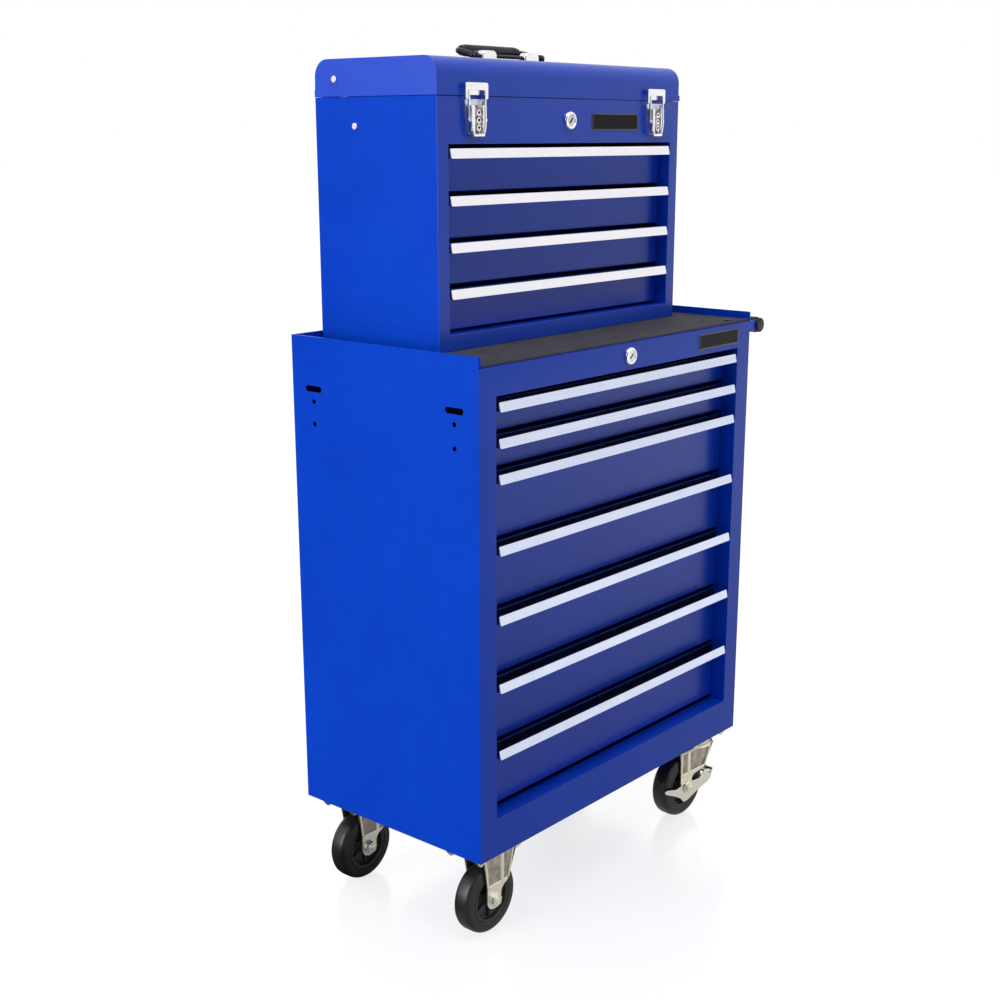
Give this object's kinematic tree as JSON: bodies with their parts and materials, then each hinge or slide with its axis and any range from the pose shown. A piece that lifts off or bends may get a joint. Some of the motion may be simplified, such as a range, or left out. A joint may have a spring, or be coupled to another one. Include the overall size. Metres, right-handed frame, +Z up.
{
  "type": "tool chest on roller cabinet",
  "caption": "Portable tool chest with a latched lid and drawers, standing on a matching roller cabinet with drawers, push handle and casters.",
  "frame": {"origin": "on the floor, below the middle of the outer box", "axes": "+Z up, drawers open towards -Y, push handle on the +X side"},
  "size_m": [0.688, 0.335, 1.164],
  "materials": {
    "body_paint": "gloss",
    "drawer_paint": "gloss",
    "pull_aluminium": "satin",
    "bright_steel": "satin",
    "zinc_plate": "satin",
    "chrome_trim": "polished",
    "black_paint": "gloss",
    "black_grip": "matte",
    "wheel_rubber": "matte",
    "mat_rubber": "matte"
  },
  "bodies": {
    "cabinet": {"cabinet_wrap": "body_paint", "cabinet_front_frame": "body_paint", "cabinet_deck": "body_paint", "cabinet_base_pan": "drawer_paint", "deck_mat": "mat_rubber", "cabinet_slide_channels": "bright_steel", "handle_brackets": "body_paint", "handle_bar": "black_grip", "cabinet_fasteners": "zinc_plate", "caster_mounts": "zinc_plate"},
    "cabinet_lock": {"cabinet_lock": "chrome_trim"},
    "lock_bar": {"cabinet_lock_bar": "bright_steel"},
    "cabinet_drawer_1": {"cabinet_drawer_1": "drawer_paint", "cabinet_pull_1": "pull_aluminium"},
    "cabinet_drawer_2": {"cabinet_drawer_2": "drawer_paint", "cabinet_pull_2": "pull_aluminium"},
    "cabinet_drawer_3": {"cabinet_drawer_3": "drawer_paint", "cabinet_pull_3": "pull_aluminium"},
    "cabinet_drawer_4": {"cabinet_drawer_4": "drawer_paint", "cabinet_pull_4": "pull_aluminium"},
    "cabinet_drawer_5": {"cabinet_drawer_5": "drawer_paint", "cabinet_pull_5": "pull_aluminium"},
    "cabinet_drawer_6": {"cabinet_drawer_6": "drawer_paint", "cabinet_pull_6": "pull_aluminium"},
    "cabinet_drawer_7": {"cabinet_drawer_7": "drawer_paint", "cabinet_pull_7": "pull_aluminium"},
    "wheel_front_left": {"wheel_front_left": "wheel_rubber"},
    "wheel_rear_left": {"wheel_rear_left": "wheel_rubber"},
    "swivel_front": {"swivel_fork_front": "zinc_plate"},
    "wheel_front_right": {"wheel_front_right": "wheel_rubber"},
    "pedal_front": {"brake_pedal_front": "zinc_plate"},
    "swivel_rear": {"swivel_fork_rear": "zinc_plate"},
    "wheel_rear_right": {"wheel_rear_right": "wheel_rubber"},
    "pedal_rear": {"brake_pedal_rear": "zinc_plate"},
    "chest": {"chest_wrap": "body_paint", "chest_front_frame": "body_paint", "chest_till_floor": "drawer_paint", "chest_slide_channels": "bright_steel", "stay_rivets": "bright_steel", "hinge_leaf_fixed": "bright_steel", "latch_bases": "chrome_trim"},
    "chest_lock": {"chest_lock": "chrome_trim"},
    "lid": {"chest_lid": "body_paint", "lid_ends": "body_paint", "hinge_leaf_moving": "bright_steel", "lid_hook": "body_paint", "lid_fittings": "chrome_trim"},
    "stays": {"lid_stays": "bright_steel"},
    "carry_handle": {"carry_bail": "black_paint", "carry_grip": "black_grip"},
    "latch_lever_left": {"latch_lever_left": "chrome_trim"},
    "latch_loop_left": {"latch_loop_left": "chrome_trim"},
    "latch_lever_right": {"latch_lever_right": "chrome_trim"},
    "latch_loop_right": {"latch_loop_right": "chrome_trim"},
    "chest_drawer_1": {"chest_drawer_1": "drawer_paint", "chest_pull_1": "pull_aluminium"},
    "chest_drawer_2": {"chest_drawer_2": "drawer_paint", "chest_pull_2": "pull_aluminium"},
    "chest_drawer_3": {"chest_drawer_3": "drawer_paint", "chest_pull_3": "pull_aluminium"},
    "chest_drawer_4": {"chest_drawer_4": "drawer_paint", "chest_pull_4": "pull_aluminium"}
  },
  "joints": [
    {"name": "chest_lift", "type": "slide", "parent": "cabinet", "child": "chest", "axis": [0, 0, 1], "range_m": [0, 0.15]},
    {"name": "lid_hinge", "type": "hinge", "parent": "chest", "child": "lid", "pos_m": [-0.036, 0.1614, 1.092], "axis": [-1, 0, 0], "range_deg": [0, 95]},
    {"name": "stay_pivot", "type": "hinge", "parent": "lid", "child": "stays", "pos_m": [-0.036, 0.1225, 1.114], "axis": [1, 0, 0], "range_deg": [0, 72.84]},
    {"name": "latch_lever_pivot_left", "type": "hinge", "parent": "chest", "child": "latch_lever_left", "pos_m": [-0.23, -0.0605, 1.078], "axis": [-1, 0, 0], "range_deg": [0, 90]},
    {"name": "latch_loop_pivot_left", "type": "hinge", "parent": "latch_lever_left", "child": "latch_loop_left", "pos_m": [-0.23, -0.0619, 1.063], "axis": [-1, 0, 0], "range_deg": [-103.5, 0]},
    {"name": "latch_lever_pivot_right", "type": "hinge", "parent": "chest", "child": "latch_lever_right", "pos_m": [0.158, -0.0605, 1.078], "axis": [-1, 0, 0], "range_deg": [0, 90]},
    {"name": "latch_loop_pivot_right", "type": "hinge", "parent": "latch_lever_right", "child": "latch_loop_right", "pos_m": [0.158, -0.0619, 1.063], "axis": [-1, 0, 0], "range_deg": [-103.5, 0]},
    {"name": "carry_pivot", "type": "hinge", "parent": "lid", "child": "carry_handle", "pos_m": [-0.036, 0.0515, 1.148], "axis": [1, 0, 0], "range_deg": [0, 153]},
    {"name": "cabinet_lock_turn", "type": "hinge", "parent": "cabinet", "child": "cabinet_lock", "pos_m": [-0.036, -0.1625, 0.758], "axis": [0, -1, 0], "range_deg": [0, 90]},
    {"name": "lock_bar_lift", "type": "slide", "parent": "cabinet", "child": "lock_bar", "axis": [0, 0, 1], "range_m": [0, 0.008]},
    {"name": "chest_lock_turn", "type": "hinge", "parent": "chest", "child": "chest_lock", "pos_m": [-0.036, -0.0555, 1.064], "axis": [0, 1, 0], "range_deg": [0, 90]},
    {"name": "cabinet_drawer_1_slide", "type": "slide", "parent": "cabinet", "child": "cabinet_drawer_1", "axis": [0, -1, 0], "range_m": [0, 0.24]},
    {"name": "cabinet_drawer_2_slide", "type": "slide", "parent": "cabinet", "child": "cabinet_drawer_2", "axis": [0, -1, 0], "range_m": [0, 0.24]},
    {"name": "cabinet_drawer_3_slide", "type": "slide", "parent": "cabinet", "child": "cabinet_drawer_3", "axis": [0, -1, 0], "range_m": [0, 0.24]},
    {"name": "cabinet_drawer_4_slide", "type": "slide", "parent": "cabinet", "child": "cabinet_drawer_4", "axis": [0, -1, 0], "range_m": [0, 0.24]},
    {"name": "cabinet_drawer_5_slide", "type": "slide", "parent": "cabinet", "child": "cabinet_drawer_5", "axis": [0, -1, 0], "range_m": [0, 0.24]},
    {"name": "cabinet_drawer_6_slide", "type": "slide", "parent": "cabinet", "child": "cabinet_drawer_6", "axis": [0, -1, 0], "range_m": [0, 0.24]},
    {"name": "cabinet_drawer_7_slide", "type": "slide", "parent": "cabinet", "child": "cabinet_drawer_7", "axis": [0, -1, 0], "range_m": [0, 0.24]},
    {"name": "chest_drawer_1_slide", "type": "slide", "parent": "chest", "child": "chest_drawer_1", "axis": [0, -1, 0], "range_m": [0, 0.14]},
    {"name": "chest_drawer_2_slide", "type": "slide", "parent": "chest", "child": "chest_drawer_2", "axis": [0, -1, 0], "range_m": [0, 0.14]},
    {"name": "chest_drawer_3_slide", "type": "slide", "parent": "chest", "child": "chest_drawer_3", "axis": [0, -1, 0], "range_m": [0, 0.14]},
    {"name": "chest_drawer_4_slide", "type": "slide", "parent": "chest", "child": "chest_drawer_4", "axis": [0, -1, 0], "range_m": [0, 0.14]},
    {"name": "wheel_front_left_spin", "type": "hinge", "parent": "cabinet", "child": "wheel_front_left", "pos_m": [-0.294, -0.1245, 0.05], "axis": [0, 1, 0], "continuous": true},
    {"name": "swivel_front_turn", "type": "hinge", "parent": "cabinet", "child": "swivel_front", "pos_m": [0.216, -0.1245, 0.109], "axis": [0, 0, 1], "continuous": true},
    {"name": "wheel_front_right_spin", "type": "hinge", "parent": "swivel_front", "child": "wheel_front_right", "pos_m": [0.17406, -0.1223, 0.05], "axis": [0.0523, 0.9986, 0], "continuous": true},
    {"name": "pedal_front_pivot", "type": "hinge", "parent": "swivel_front", "child": "pedal_front", "pos_m": [0.17406, -0.1223, 0.05], "axis": [0.0523, 0.9986, 0], "range_deg": [0, 14]},
    {"name": "wheel_rear_left_spin", "type": "hinge", "parent": "cabinet", "child": "wheel_rear_left", "pos_m": [-0.294, 0.1135, 0.05], "axis": [0, 1, 0], "continuous": true},
    {"name": "swivel_rear_turn", "type": "hinge", "parent": "cabinet", "child": "swivel_rear", "pos_m": [0.216, 0.1135, 0.109], "axis": [0, 0, 1], "continuous": true},
    {"name": "wheel_rear_right_spin", "type": "hinge", "parent": "swivel_rear", "child": "wheel_rear_right", "pos_m": [0.17406, 0.1157, 0.05], "axis": [0.0523, 0.9986, 0], "continuous": true},
    {"name": "pedal_rear_pivot", "type": "hinge", "parent": "swivel_rear", "child": "pedal_rear", "pos_m": [0.17406, 0.1157, 0.05], "axis": [0.0523, 0.9986, 0], "range_deg": [0, 14]}
  ],
  "couplings": [
    {"joint": "stay_pivot", "follows": "lid_hinge", "ratio": 0.76672},
    {"joint": "cabinet_lock_turn", "follows": "lock_bar_lift", "rad_per_m": 196.35},
    {"joint": "latch_loop_pivot_left", "follows": "latch_lever_pivot_left", "ratio": -1.15},
    {"joint": "latch_loop_pivot_right", "follows": "latch_lever_pivot_right", "ratio": -1.15}
  ]
}
